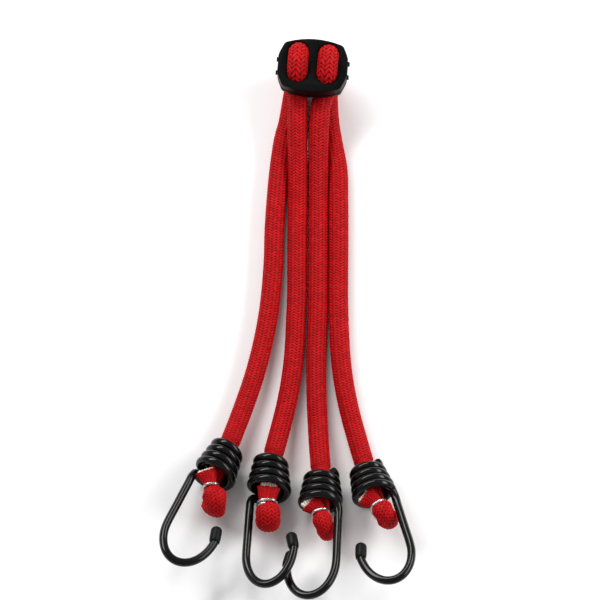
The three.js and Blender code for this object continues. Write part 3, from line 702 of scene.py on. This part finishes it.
def grain_group():
    """Fine grain and slow mottling over a surface, as a height and as a mask from 0 to 1."""
    tree = bpy.data.node_groups.new("Grain", "ShaderNodeTree")
    for label in ("Grain scale", "Mottle scale", "Stretch"):
        tree.interface.new_socket(label, in_out="INPUT", socket_type="NodeSocketFloat")
    tree.interface.new_socket("Height", in_out="OUTPUT", socket_type="NodeSocketFloat")
    tree.interface.new_socket("Mottle", in_out="OUTPUT", socket_type="NodeSocketFloat")
    made = Tree(tree)
    given = made.node("NodeGroupInput").outputs
    place = made.node("ShaderNodeTexCoord").outputs["Object"]
    scale = made.node("ShaderNodeCombineXYZ", {0: 1.0, 1: given["Stretch"], 2: 1.0}).outputs[0]
    drawn = made.node("ShaderNodeVectorMath", {0: place, 1: scale}, operation="MULTIPLY").outputs[0]
    fine = made.node("ShaderNodeTexNoise", {
        "Vector": drawn, "Scale": given["Grain scale"], "Detail": 3.0, "Roughness": 0.6})
    slow = made.node("ShaderNodeTexNoise", {
        "Vector": place, "Scale": given["Mottle scale"], "Detail": 2.0, "Roughness": 0.5})
    output = made.node("NodeGroupOutput")
    tree.links.new(fine.outputs[0], output.inputs["Height"])
    tree.links.new(slow.outputs[0], output.inputs["Mottle"])
    return tree


def new_material(name, grain, grain_scale, mottle_scale, stretch=1.0):
    material = bpy.data.materials.new(name)
    material.use_nodes = True
    made = Tree(material.node_tree)
    shader = material.node_tree.nodes["Principled BSDF"]
    group = made.node("ShaderNodeGroup", node_tree=grain)
    group.inputs["Grain scale"].default_value = grain_scale
    group.inputs["Mottle scale"].default_value = mottle_scale
    group.inputs["Stretch"].default_value = stretch
    return material, made, shader, group


def between(made, share, low, high):
    """Value that goes from low to high with share."""
    return made.node("ShaderNodeMapRange", {
        "Value": share, "From Min": 0.25, "From Max": 0.75, "To Min": low, "To Max": high}).outputs[0]


def mixed(made, share, first, second, blend_type="MIX"):
    node = made.node("ShaderNodeMix", data_type="RGBA", blend_type=blend_type)
    for index, value in ((0, share), (6, first), (7, second)):
        if isinstance(value, bpy.types.NodeSocket):
            made.tree.links.new(value, node.inputs[index])
        elif index == 0:
            node.inputs[index].default_value = value
        else:
            node.inputs[index].default_value = (*value, 1.0)
    return node.outputs[2]


def bumped(made, shader, height, strength, distance):
    bump = made.node("ShaderNodeBump", {"Height": height, "Strength": strength, "Distance": distance})
    made.tree.links.new(bump.outputs[0], shader.inputs["Normal"])


def join(made, value, shader, socket):
    made.tree.links.new(value, shader.inputs[socket])


def braid_material(grain, settings):
    material, made, shader, group = new_material("braid", grain, 2600.0, 160.0, 0.5)
    weave = made.node("ShaderNodeAttribute", attribute_name="weave").outputs["Fac"]
    # Painted shade: where the weave is low, between yarns, the colour goes to the dark gap shade; where it is
    # high, to the yarn's own tone.
    shade_free_share = made.node("ShaderNodeMapRange", {
        "Value": weave, "From Min": 0.3, "From Max": 0.85, "To Min": 0.0, "To Max": 1.0},
        interpolation_type="SMOOTHSTEP").outputs[0]
    yarn = tuple(settings.yarn_colour)
    bright = tuple(min(1.0, 1.5 * value + 0.004) for value in yarn)
    own = made.node("ShaderNodeAttribute", attribute_name="tone").outputs["Fac"]
    worn = made.math("MULTIPLY", own, between(made, group.outputs["Mottle"], 0.4, 1.0))
    tone = mixed(made, worn, yarn, bright)
    colour = mixed(made, shade_free_share, tuple(settings.painted_gap_shade), tone)
    join(made, colour, shader, "Base Color")
    join(made, between(made, group.outputs["Height"], 0.5, 0.72), shader, "Roughness")
    shader.inputs["Specular IOR Level"].default_value = 0.1
    bumped(made, shader, group.outputs["Height"], 0.25, 0.0001)
    return material


def rubber_material(grain, settings):
    material, made, shader, group = new_material("rubber", grain, 3000.0, 900.0)
    cream = tuple(settings.rubber_colour)
    shade = tuple(0.8 * value for value in cream)
    mottle = between(made, group.outputs["Mottle"], 0.0, 1.0)
    join(made, mixed(made, mottle, shade, cream), shader, "Base Color")
    join(made, between(made, group.outputs["Height"], 0.5, 0.75), shader, "Roughness")
    bumped(made, shader, group.outputs["Height"], 0.15, 0.0001)
    return material


def plastic_material(name, grain, colour, grain_scale, roughness, bump, gloss):
    material, made, shader, group = new_material(name, grain, grain_scale, 90.0)
    pale = tuple(1.5 * value + 0.001 for value in colour)
    mottle = group.outputs["Mottle"]
    join(made, mixed(made, between(made, mottle, 0.0, 1.0), tuple(colour), pale), shader, "Base Color")
    join(made, between(made, mottle, *roughness), shader, "Roughness")
    shader.inputs["Specular IOR Level"].default_value = gloss
    bumped(made, shader, group.outputs["Height"], bump, 0.0001)
    return material


def zinc_material(grain, settings):
    material, made, shader, group = new_material("zinc", grain, 2200.0, 700.0)
    bright = tuple(settings.zinc_colour)
    dull = tuple(0.72 * value for value in bright)
    mottle = group.outputs["Mottle"]
    join(made, mixed(made, between(made, mottle, 0.0, 1.0), dull, bright), shader, "Base Color")
    join(made, between(made, mottle, 0.2, 0.36), shader, "Roughness")
    shader.inputs["Metallic"].default_value = 1.0
    bumped(made, shader, group.outputs["Height"], 0.12, 0.0001)
    return material


def materials():
    """Every material of the strap, made once."""
    scene = bpy.context.scene
    if "strap_made" not in scene:
        grain = grain_group()
        cord, hook, hub = scene.strap_cord, scene.strap_hook, scene.strap_hub
        made = {
            "braid": braid_material(grain, cord),
            "rubber": rubber_material(grain, cord),
            "coated_wire": plastic_material(
                "coated_wire", grain, hook.coat_colour, 900.0, (0.12, 0.2), 0.02, 0.26),
            "tip_vinyl": plastic_material(
                "tip_vinyl", grain, hook.cap_colour, 1500.0, (0.36, 0.5), 0.15, 0.12),
            "hub_plastic": plastic_material(
                "hub_plastic", grain, hub.colour, 1800.0, (0.32, 0.46), 0.12, 0.06),
            "zinc": zinc_material(grain, hook),
        }
        scene["strap_made"] = {slot: material.name for slot, material in made.items()}
    return {slot: bpy.data.materials[name] for slot, name in scene["strap_made"].items()}


# Cords

def cord_rings(name):
    """Rings of one cord from cut end to cut end, and where its stretches begin and end."""
    settings = bpy.context.scene.strap_cord
    outer, inner, x = CORDS[name]
    outer_points = arm_points(ARMS[outer])[::-1]
    inner_points = arm_points(ARMS[inner])
    between_points = [
        np.array(ARMS[outer]["run"], float)[::-1] + ORIGIN_SHIFT, loop_points(x),
        np.array(ARMS[inner]["run"], float) + ORIGIN_SHIFT,
    ]
    points = np.vstack([outer_points, *between_points, inner_points])
    middle = spline(points)
    outer_fold = [values[:1:-1] for values in fold_line(ARMS[outer])]
    inner_fold = [values[2:] for values in fold_line(ARMS[inner])]
    along = lengths_along(middle)
    first_run = (len(outer_points) + len(ARMS[outer]["run"])) * STEPS_PER_SEGMENT
    last_run = (len(points) - len(inner_points) - len(ARMS[inner]["run"]) - 1) * STEPS_PER_SEGMENT
    swell = smooth_share(along, along[first_run], along[first_run] + SWELL_LENGTH)
    swell = swell * smooth_share(-along, -along[last_run], SWELL_LENGTH - along[last_run])
    round_size = np.repeat((CORD_RADIUS + LOOP_SWELL * swell)[:, None], 2, axis=1)
    sideways = np.tile([1.0, 0.0, 0.0], (len(middle), 1))
    line = np.vstack([outer_fold[0], middle, inner_fold[0]])
    sizes = np.vstack([outer_fold[1], round_size, inner_fold[1]])
    lateral = np.vstack([outer_fold[2], sideways, inner_fold[2]])
    lengths = lengths_along(line)
    base = len(outer_fold[0])
    last = len(points) - 1
    root = settings.root_length / MM

    def mark(index):
        return lengths[base + index * STEPS_PER_SEGMENT]

    outer_start = mark(len(outer_points) - 1)
    inner_start = mark(len(points) - len(inner_points))
    cuts = [
        0.0, mark(0), mark(TAIL_POINTS), outer_start - root, outer_start + settings.swing_lead / MM,
        inner_start - settings.lift_lead / MM, inner_start + root, mark(last - TAIL_POINTS), mark(last),
        lengths[-1],
    ]
    names = [
        f"end_{outer}", f"tail_{outer}", f"arm_{outer}", f"root_{outer}", f"{name}_loop",
        f"root_{inner}", f"arm_{inner}", f"tail_{inner}", f"end_{inner}",
    ]
    places = [0.0]
    spans = {}
    for label, low, high in zip(names, cuts, cuts[1:]):
        count = max(2, round((high - low) / (settings.ring_pitch / MM)))
        spans[label] = (len(places) - 1, len(places) - 1 + count)
        places += np.linspace(low, high, count + 1)[1:].tolist()
    places = np.array(places)
    centres = at_lengths(places, lengths, line)
    radii = at_lengths(places, lengths, sizes)
    sideways = at_lengths(places, lengths, lateral)
    tangents = unit(np.gradient(centres, axis=0))
    u = np.zeros_like(tangents)
    start = np.array([0.0, 0.0, 1.0])
    for i, tangent in enumerate(tangents):
        start = start - start.dot(tangent) * tangent
        start = start / np.linalg.norm(start)
        u[i] = start
    v = np.cross(tangents, u)
    flat = sideways - (sideways * tangents).sum(1, keepdims=True) * tangents
    turn = np.arctan2((flat * v).sum(1), (flat * u).sum(1))
    angles = np.linspace(0, 2 * math.pi, settings.sides, endpoint=False)
    wide = radii[:, :1] * np.cos(angles[None, :] - turn[:, None])
    thick = radii[:, 1:] * np.sin(angles[None, :] - turn[:, None])
    side = np.cos(turn)[:, None] * u + np.sin(turn)[:, None] * v
    up = np.cross(tangents, side)
    rings = centres[:, None, :] + wide[..., None] * side[:, None, :] + thick[..., None] * up[:, None, :]
    return rings, centres, places, angles / (2 * math.pi), spans


def cord_piece(label, rings, centres, places, around, first, last):
    """One stretch of a cord as a braided tube, closed at both ends."""
    settings = bpy.context.scene.strap_cord
    part = rings[first:last + 1]
    count, sides = part.shape[:2]
    points = np.vstack([part.reshape(-1, 3), centres[first:first + 1], centres[last:last + 1]])
    made = mesh_object(label, points, tube_faces(count, sides))
    along = np.repeat(places[first:last + 1], sides)
    set_float(made.data, "along", np.concatenate([along, places[[first, last]]]) * MM)
    set_float(made.data, "around", np.concatenate([np.tile(around, count), [0.0, 0.0]]))
    set_float(made.data, "body", np.concatenate([np.ones(count * sides), [0.0, 0.0]]))
    folded = label.startswith("end")
    baked(made, bpy.data.node_groups["Braid relief"], {
        "Columns": float(settings.end_columns if folded else settings.columns),
        "Row pitch": settings.end_row_pitch if folded else settings.row_pitch,
        "Lean": settings.lean, "Pinch": settings.end_pinch if folded else settings.pinch,
        "Relief": settings.end_relief if folded else settings.relief, "Material": materials()["braid"],
    })
    return made


def cut_strands(number, rings, centres, at_start):
    """Ends of the rubber strands in a cut end of a cord, filling it and standing out of it."""
    show = ARMS[number]["strand_show"]
    settings = bpy.context.scene.strap_cord
    ring = rings[0] if at_start else rings[-1]
    centre = ring.mean(axis=0)
    outward = unit(centres[0] - centres[6]) if at_start else unit(centres[-1] - centres[-7])
    half_width = np.linalg.norm(ring - centre, axis=1).max()
    half_thick = np.linalg.norm(ring - centre, axis=1).min()
    side = unit(ring[np.argmax(np.linalg.norm(ring - centre, axis=1))] - centre)
    up = np.cross(outward, side)
    step = settings.strand_diameter / MM * STRAND_SPACING
    points = []
    length = show + STRAND_INSIDE
    wall = STRAND_WALL * step
    for row in range(-STRAND_ROWS, STRAND_ROWS + 1):
        for col in range(-STRAND_COLUMNS, STRAND_COLUMNS + 1):
            x = (col + 0.5 * (row % 2)) * step
            y = row * step * math.sqrt(0.75)
            if (x / (half_width - wall)) ** 2 + (y / (half_thick - wall)) ** 2 <= 1:
                points.append(centre + x * side + y * up + (show - length / 2) * outward)
    made = mesh_object(f"rubber_{number}", np.array(points), [])
    baked(made, bpy.data.node_groups["Rubber strands"], {
        "Diameter": settings.strand_diameter, "Length": length * MM, "Direction": tuple(outward),
        "Seed": number, "Material": materials()["rubber"],
    })
    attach(made, f"hook_{number}")
    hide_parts(f"end_{number}_core")


class STRAP_OT_cords(bpy.types.Operator):
    """Build both braided cords, from cut end to cut end, in the stretches that move apart."""

    bl_idname = "strap.cords"
    bl_label = "Build cords"

    def execute(self, context):
        braid_tree()
        strand_tree()
        for name, (outer, inner, _x) in CORDS.items():
            rings, centres, places, around, spans = cord_rings(name)
            for label, (first, last) in spans.items():
                made = cord_piece(label, rings, centres, places, around, first, last)
                number = label.split("_")[1]
                if label.endswith("loop"):
                    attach(made, "hub")
                    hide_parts(f"{name}_loop_sheath", f"{name}_loop_core")
                elif label.startswith("end"):
                    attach(made, f"hook_{number}")
                    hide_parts(f"end_{number}_sheath")
                elif label.startswith("root"):
                    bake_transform(made)
                elif label.startswith("arm"):
                    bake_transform(made)
                    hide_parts(f"arm_{number}_sheath", f"arm_{number}_core")
                else:
                    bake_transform(made)
                    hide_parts(f"tail_{number}_sheath", f"tail_{number}_core")
            cut_strands(outer, rings, centres, True)
            cut_strands(inner, rings, centres, False)
        return {"FINISHED"}


class STRAP_OT_hooks(bpy.types.Operator):
    """Build the wound wire hooks, their dipped caps and the clamping rings."""

    bl_idname = "strap.hooks"
    bl_label = "Build hooks"

    def execute(self, context):
        tree = wire_tree()
        settings = context.scene.strap_hook
        shared = materials()
        line = hook_line()
        edges = [(i, i + 1) for i in range(len(line) - 1)]
        tip = line[-1]
        leaving = unit(line[-1] - line[-4])
        radius = settings.cap_diameter / MM / 2
        length = settings.cap_length / MM
        crown = CAP_CROWN
        wire = settings.wire_diameter / MM / 2
        bottom = crown - length
        dome = radius - CAP_FLATTENING
        profile = [(wire - 0.05, bottom + 0.4), (wire + 0.15, bottom), (wire + 0.4, bottom + 0.15),
                   (radius - 0.1, bottom + 1.6), (radius, bottom + 2.6), (radius, crown - dome)]
        for angle in CAP_DOME_ANGLES:
            turn = math.radians(angle)
            profile.append((radius * math.cos(turn), crown - dome + dome * math.sin(turn)))
        for number, arm in ARMS.items():
            body = f"hook_{number}"
            hook = mesh_object(f"wire_{number}", to_hook(arm, line), [], edges)
            baked(hook, tree, {"Diameter": settings.wire_diameter, "Sides": settings.wire_sides,
                               "Material": shared["coated_wire"]})
            ends = to_hook(arm, [tip, tip + leaving])
            cap = revolved(f"cap_{number}", profile, CAP_SIDES, ends[0], ends[1] - ends[0])
            cap.data.materials.append(shared["tip_vinyl"])
            cap.data.shade_smooth()
            loop = ring_line(arm)
            ring = mesh_object(f"ring_{number}", loop, [], [(i, i + 1) for i in range(len(loop) - 1)])
            baked(ring, tree, {"Diameter": settings.ring_wire, "Sides": RING_SIDES,
                               "Material": shared["zinc"]})
            dressed = (
                (hook, f"hook_{number}", "coated_wire"), (cap, f"tip_cap_{number}", "tip_vinyl"),
                (ring, f"hog_ring_{number}", "zinc"),
            )
            for piece, node, slot in dressed:
                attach(piece, body)
                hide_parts(node)
        return {"FINISHED"}


class STRAP_OT_hub(bpy.types.Operator):
    """Build the moulded hub with rounded edges from the assembly's own shapes."""

    bl_idname = "strap.hub"
    bl_label = "Build hub"

    def execute(self, context):
        settings = context.scene.strap_hub
        for node, label in (("hub_front_cover", "cover"), ("hub_rear_plate", "plate")):
            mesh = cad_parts[node].data.copy()
            work = bmesh.new()
            work.from_mesh(mesh)
            bmesh.ops.remove_doubles(work, verts=work.verts, dist=1e-6)
            bmesh.ops.dissolve_limit(work, angle_limit=math.radians(FLAT_ANGLE), verts=work.verts,
                                     edges=work.edges)
            work.to_mesh(mesh)
            work.free()
            mesh.materials.clear()
            mesh.materials.append(materials()["hub_plastic"])
            made = bpy.data.objects.new(label, mesh)
            context.scene.collection.objects.link(made)
            bevel = made.modifiers.new("Edges", "BEVEL")
            bevel.width = settings.edge_radius
            bevel.segments = EDGE_SEGMENTS
            bevel.limit_method = "ANGLE"
            bevel.angle_limit = math.radians(BEVELLED_ANGLE)
            graph = context.evaluated_depsgraph_get()
            fine = bpy.data.meshes.new_from_object(made.evaluated_get(graph))
            made.modifiers.remove(bevel)
            made.data = fine
            bpy.data.meshes.remove(mesh)
            fine.shade_smooth()
            fine.set_sharp_from_angle(angle=math.radians(SHARP_ANGLE))
            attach(made, "hub")
            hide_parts(node)
        return {"FINISHED"}


class STRAP_OT_stage(bpy.types.Operator):
    """Set the camera, the lamps and the floor."""

    bl_idname = "strap.stage"
    bl_label = "Set the stage"

    def execute(self, context):
        scene = context.scene
        settings = scene.strap_stage
        scene.view_settings.view_transform = "Standard"
        target = Vector(settings.target)
        back = Vector((0.0, -math.cos(settings.elevation), math.sin(settings.elevation)))
        camera_data = bpy.data.cameras.new("camera")
        camera = bpy.data.objects.new("camera", camera_data)
        scene.collection.objects.link(camera)
        camera.location = target + back * settings.distance
        camera.rotation_mode = "QUATERNION"
        camera.rotation_quaternion = (-back).to_track_quat("-Z", "Y")
        camera_data.lens = camera_data.sensor_width * settings.distance / settings.field
        camera_data.clip_end = 4 * settings.distance
        scene.camera = camera
        lamps = (
            ("key", KEY_PLACE, KEY_SIZE, settings.key_power),
            ("side", SIDE_PLACE, SIDE_SIZE, settings.side_power),
        )
        for name, place, size, power in lamps:
            lamp = bpy.data.lights.new(name, "AREA")
            lamp.shape = "RECTANGLE"
            lamp.size, lamp.size_y = size
            lamp.energy = power
            made = bpy.data.objects.new(name, lamp)
            scene.collection.objects.link(made)
            made.location = place
            made.rotation_mode = "QUATERNION"
            made.rotation_quaternion = (target - Vector(place)).to_track_quat("-Z", "Y")
        self.make_floor(settings)
        self.make_world(scene, settings)
        return {"FINISHED"}

    def make_floor(self, settings):
        corners = [(-1, -1), (1, -1), (1, 1), (-1, 1)]
        points = [[FLOOR_REACH * x, FLOOR_REACH * y, 0] for x, y in corners]
        floor = mesh_object("floor", points, [[0, 1, 2, 3]])
        material = bpy.data.materials.new("floor")
        material.use_nodes = True
        shader = material.node_tree.nodes["Principled BSDF"]
        shader.inputs["Base Color"].default_value = (*settings.floor_colour, 1.0)
        shader.inputs["Roughness"].default_value = 0.9
        shader.inputs["Specular IOR Level"].default_value = 0.1
        floor.data.materials.append(material)

    def make_world(self, scene, settings):
        world = bpy.data.worlds.new("world")
        scene.world = world
        world.use_nodes = True
        background = world.node_tree.nodes["Background"]
        background.inputs["Color"].default_value = (1.0, 1.0, 1.0, 1.0)
        background.inputs["Strength"].default_value = settings.world_strength


class STRAP_PT_panel(bpy.types.Panel):
    """Sizes, colours and build steps of the strap."""

    bl_idname = "STRAP_PT_panel"
    bl_label = "Bungee strap"
    bl_space_type = "VIEW_3D"
    bl_region_type = "UI"
    bl_category = "Strap"

    def draw(self, context):
        layout = self.layout
        for label, (operator, settings) in STEPS.items():
            box = layout.box()
            box.operator(operator, text=label)
            group = getattr(context.scene, settings)
            for name in group.__annotations__:
                box.prop(group, name)


STEPS = {
    "Stage": ("strap.stage", "strap_stage"),
    "Cords": ("strap.cords", "strap_cord"),
    "Hooks": ("strap.hooks", "strap_hook"),
    "Hub": ("strap.hub", "strap_hub"),
}
SETTINGS = {
    "strap_cord": StrapCordSettings,
    "strap_hook": StrapHookSettings,
    "strap_hub": StrapHubSettings,
    "strap_stage": StrapStageSettings,
}
CLASSES = (*SETTINGS.values(), STRAP_OT_stage, STRAP_OT_cords, STRAP_OT_hooks, STRAP_OT_hub, STRAP_PT_panel)


def register():
    for made in CLASSES:
        bpy.utils.register_class(made)
    for name, group in SETTINGS.items():
        setattr(bpy.types.Scene, name, bpy.props.PointerProperty(type=group))


def unregister():
    for name in SETTINGS:
        delattr(bpy.types.Scene, name)
    for made in reversed(CLASSES):
        bpy.utils.unregister_class(made)


def main():
    register()
    bpy.ops.strap.stage()
    bpy.ops.strap.cords()
    bpy.ops.strap.hooks()
    bpy.ops.strap.hub()


if __name__ == "__main__":
    main()
